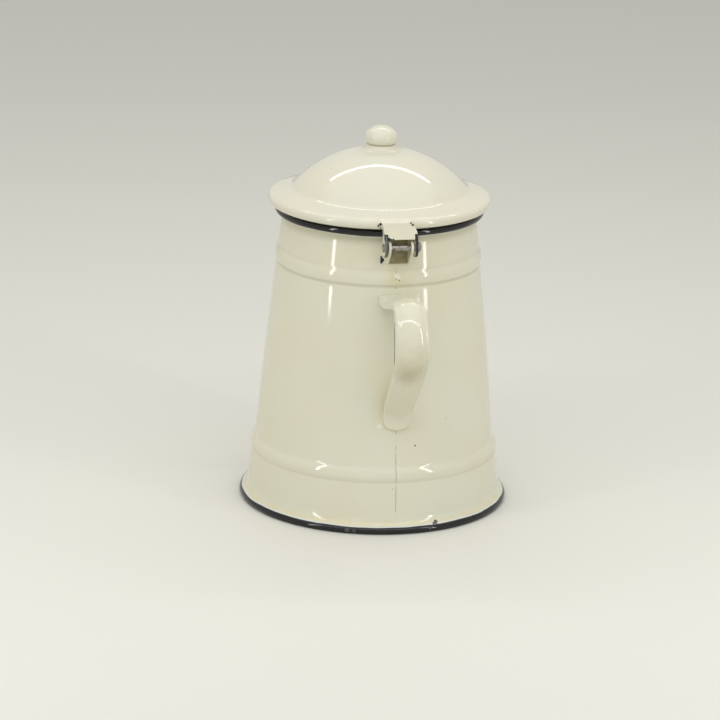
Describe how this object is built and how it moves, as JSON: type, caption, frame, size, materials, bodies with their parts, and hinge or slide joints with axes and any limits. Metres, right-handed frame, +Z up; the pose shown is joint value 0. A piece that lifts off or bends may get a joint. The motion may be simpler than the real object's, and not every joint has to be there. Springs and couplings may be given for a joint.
{
  "type": "enamel coffee pot",
  "caption": "Antique enamelled steel coffee pot with a tapered body, strap handle, gooseneck spout and a domed lid that swings up on a hinge over the handle.",
  "frame": {"origin": "centre of the foot on the table", "axes": "+Z up along the pot's axis; +X towards the spout; the handle and the lid's hinge are at -X"},
  "size_m": [0.2164, 0.1476, 0.2089],
  "materials": {
    "cream_enamel": "aged glossy vitreous enamel",
    "steel_wire": "plain drawn steel",
    "worn_steel": "worn steel with a little rust"
  },
  "bodies": {
    "pot": {"body_shell": "cream_enamel", "mouth_wire": "steel_wire", "foot_wire": "steel_wire", "bottom_disc": "cream_enamel", "spout_left_half": "cream_enamel", "spout_right_half": "cream_enamel", "handle_strap": "cream_enamel", "hinge_bracket": "cream_enamel", "hinge_pin": "worn_steel"},
    "lid": {"lid_shell": "cream_enamel", "lid_collar": "cream_enamel", "hinge_leaf": "cream_enamel", "lid_knob": "cream_enamel", "knob_stud": "worn_steel"}
  },
  "joints": [
    {"name": "lid_hinge", "type": "hinge", "parent": "pot", "child": "lid", "pos_m": [-0.061, 0, 0.1566], "axis": [0, -1, 0], "range_deg": [0, 148]}
  ]
}
